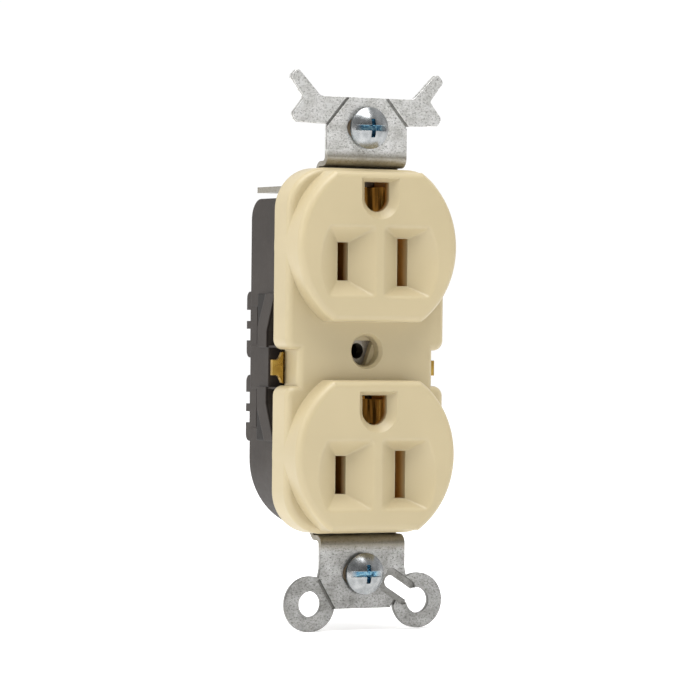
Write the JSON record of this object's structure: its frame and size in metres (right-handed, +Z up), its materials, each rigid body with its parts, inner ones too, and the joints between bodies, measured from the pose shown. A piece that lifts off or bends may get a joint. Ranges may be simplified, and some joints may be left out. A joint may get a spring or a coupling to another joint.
{
  "type": "duplex wall outlet",
  "caption": "Duplex power outlet with two round faces, a screw-mounted steel strap with break-off ears and side terminals.",
  "frame": {"origin": "front plane of the strap's ears, midway between the two box screws", "axes": "+X right as seen from the front, +Y back into the wall, +Z up"},
  "size_m": [0.0346, 0.0284, 0.1044],
  "materials": {
    "ivory_cover": "moulded nylon, satin gloss",
    "dark_body": "moulded thermoplastic, slight sheen",
    "galvanised_strap": "galvanised, mottled",
    "box_screw_zinc": "bright zinc plate",
    "fibre_washer": "pressed fibre board",
    "contact_brass": "rolled brass",
    "rivet_steel": "plain steel",
    "green_screw": "green dyed zinc",
    "assembly_steel": "plated steel",
    "terminal_brass": "bright brass",
    "terminal_nickel": "nickel plated",
    "clamp_steel": "zinc plated steel"
  },
  "bodies": {
    "outlet": {"front_cover": "ivory_cover", "rear_body": "dark_body", "mounting_strap": "galvanised_strap", "hot_contact_strip": "contact_brass", "neutral_contact_strip": "contact_brass", "upper_ground_contact": "contact_brass", "lower_ground_contact": "contact_brass", "upper_ground_rivet": "rivet_steel", "lower_ground_rivet": "rivet_steel", "assembly_screws": "assembly_steel"},
    "hot_clamp_upper": {"hot_clamp_plate_upper": "clamp_steel"},
    "hot_screw_upper": {"hot_terminal_screw_upper": "terminal_brass"},
    "hot_clamp_lower": {"hot_clamp_plate_lower": "clamp_steel"},
    "hot_screw_lower": {"hot_terminal_screw_lower": "terminal_brass"},
    "neutral_clamp_upper": {"neutral_clamp_plate_upper": "clamp_steel"},
    "neutral_screw_upper": {"neutral_terminal_screw_upper": "terminal_nickel"},
    "neutral_clamp_lower": {"neutral_clamp_plate_lower": "clamp_steel"},
    "neutral_screw_lower": {"neutral_terminal_screw_lower": "terminal_nickel"},
    "upper_washer": {"upper_retaining_washer": "fibre_washer"},
    "upper_screw": {"upper_box_screw": "box_screw_zinc"},
    "lower_washer": {"lower_retaining_washer": "fibre_washer"},
    "lower_screw": {"lower_box_screw": "box_screw_zinc"},
    "ground_clamp": {"ground_clamp_plate": "clamp_steel"},
    "ground_screw": {"green_ground_screw": "green_screw"}
  },
  "joints": [
    {"name": "hot_clamp_upper_travel", "type": "slide", "parent": "outlet", "child": "hot_clamp_upper", "axis": [-1, 0, 0], "range_m": [0, 0.0021]},
    {"name": "hot_screw_upper_turn", "type": "hinge", "parent": "hot_clamp_upper", "child": "hot_screw_upper", "pos_m": [-0.0101, 0.0153, 0.0045], "axis": [-1, 0, 0], "range_deg": [0, 953.1]},
    {"name": "hot_clamp_lower_travel", "type": "slide", "parent": "outlet", "child": "hot_clamp_lower", "axis": [-1, 0, 0], "range_m": [0, 0.0021]},
    {"name": "hot_screw_lower_turn", "type": "hinge", "parent": "hot_clamp_lower", "child": "hot_screw_lower", "pos_m": [-0.0101, 0.0153, -0.0109], "axis": [-1, 0, 0], "range_deg": [0, 953.1]},
    {"name": "neutral_clamp_upper_travel", "type": "slide", "parent": "outlet", "child": "neutral_clamp_upper", "axis": [1, 0, 0], "range_m": [0, 0.0021]},
    {"name": "neutral_screw_upper_turn", "type": "hinge", "parent": "neutral_clamp_upper", "child": "neutral_screw_upper", "pos_m": [0.0101, 0.0153, 0.0045], "axis": [1, 0, 0], "range_deg": [0, 953.1]},
    {"name": "neutral_clamp_lower_travel", "type": "slide", "parent": "outlet", "child": "neutral_clamp_lower", "axis": [1, 0, 0], "range_m": [0, 0.0021]},
    {"name": "neutral_screw_lower_turn", "type": "hinge", "parent": "neutral_clamp_lower", "child": "neutral_screw_lower", "pos_m": [0.0101, 0.0153, -0.0109], "axis": [1, 0, 0], "range_deg": [0, 953.1]},
    {"name": "upper_screw_sideways", "type": "slide", "parent": "outlet", "child": "upper_washer", "axis": [1, 0, 0], "range_m": [-0.0023, 0.0023]},
    {"name": "upper_screw_turn", "type": "hinge", "parent": "upper_washer", "child": "upper_screw", "pos_m": [0, 0, 0.04165], "axis": [0, -1, 0], "continuous": true},
    {"name": "lower_screw_sideways", "type": "slide", "parent": "outlet", "child": "lower_washer", "axis": [1, 0, 0], "range_m": [-0.0023, 0.0023]},
    {"name": "lower_screw_turn", "type": "hinge", "parent": "lower_washer", "child": "lower_screw", "pos_m": [0, 0, -0.04165], "axis": [0, -1, 0], "continuous": true},
    {"name": "ground_clamp_travel", "type": "slide", "parent": "outlet", "child": "ground_clamp", "axis": [0, 0, 1], "range_m": [0, 0.0024]},
    {"name": "ground_screw_turn", "type": "hinge", "parent": "ground_clamp", "child": "ground_screw", "pos_m": [0.0094, 0.0136, 0.0319], "axis": [0, 0, 1], "range_deg": [0, 1089.2]}
  ],
  "couplings": [
    {"joint": "hot_screw_upper_turn", "follows": "hot_clamp_upper_travel", "rad_per_m": 7913.3},
    {"joint": "hot_screw_lower_turn", "follows": "hot_clamp_lower_travel", "rad_per_m": 7913.3},
    {"joint": "neutral_screw_upper_turn", "follows": "neutral_clamp_upper_travel", "rad_per_m": 7913.3},
    {"joint": "neutral_screw_lower_turn", "follows": "neutral_clamp_lower_travel", "rad_per_m": 7913.3},
    {"joint": "ground_screw_turn", "follows": "ground_clamp_travel", "rad_per_m": 7913.3}
  ]
}
